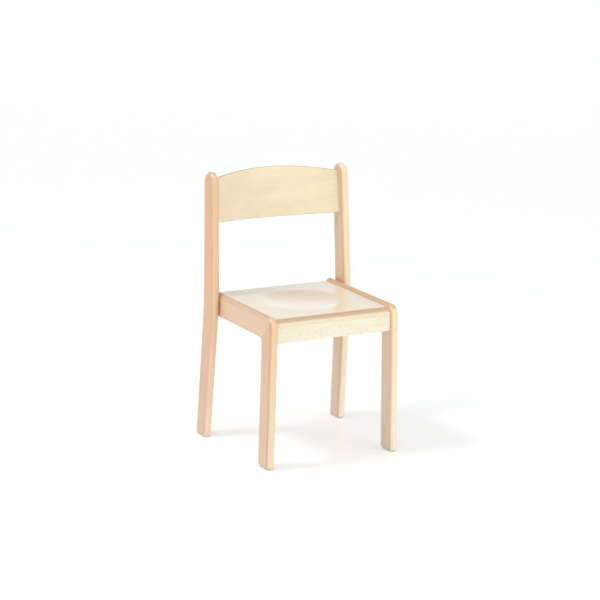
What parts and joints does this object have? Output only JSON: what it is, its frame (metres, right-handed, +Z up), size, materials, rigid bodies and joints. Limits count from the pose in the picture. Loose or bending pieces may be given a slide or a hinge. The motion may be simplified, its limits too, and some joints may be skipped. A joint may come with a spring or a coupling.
{
  "type": "nursery chair",
  "caption": "Low wooden chair for a small child: beech side frames with rounded edges, dished plywood seat and a low curved plywood backrest between the rear legs.",
  "frame": {"origin": "on the floor, under the middle of the chair's outline", "axes": "+Z up; the sitter faces -Y; +X is the right-hand side seen from the front, and left and right in the node names are seen from the front"},
  "size_m": [0.3458, 0.312, 0.5703],
  "materials": {
    "beech": "clear satin lacquer on solid beech",
    "pale_beech": "clear satin lacquer on pale flecked beech",
    "seat_plywood": "clear satin lacquer on birch plywood",
    "back_plywood": "clear satin lacquer on moulded birch plywood",
    "dowel_beech": "unfinished fluteless dowel",
    "glide_plastic": "moulded, matt",
    "steel": "zinc-plated"
  },
  "bodies": {
    "root": {"left_front_leg": "beech", "right_front_leg": "beech", "left_side_rail": "beech", "right_side_rail": "beech", "left_rear_leg": "beech", "right_rear_leg": "beech", "left_front_glide": "glide_plastic", "right_front_glide": "glide_plastic", "left_rear_glide": "glide_plastic", "right_rear_glide": "glide_plastic", "left_front_corner_block": "beech", "right_front_corner_block": "beech", "left_rear_corner_block": "beech", "right_rear_corner_block": "beech", "left_front_rail_dowels": "dowel_beech", "right_front_rail_dowels": "dowel_beech", "left_rear_rail_dowels": "dowel_beech", "right_rear_rail_dowels": "dowel_beech", "left_mitre_dowels": "dowel_beech", "right_mitre_dowels": "dowel_beech", "left_rear_leg_dowels": "dowel_beech", "right_rear_leg_dowels": "dowel_beech", "front_rail": "pale_beech", "rear_rail": "pale_beech", "seat_panel": "seat_plywood", "back_panel": "back_plywood", "corner_block_screws": "steel", "seat_screws": "steel", "glide_nails": "steel"}
  },
  "joints": []
}
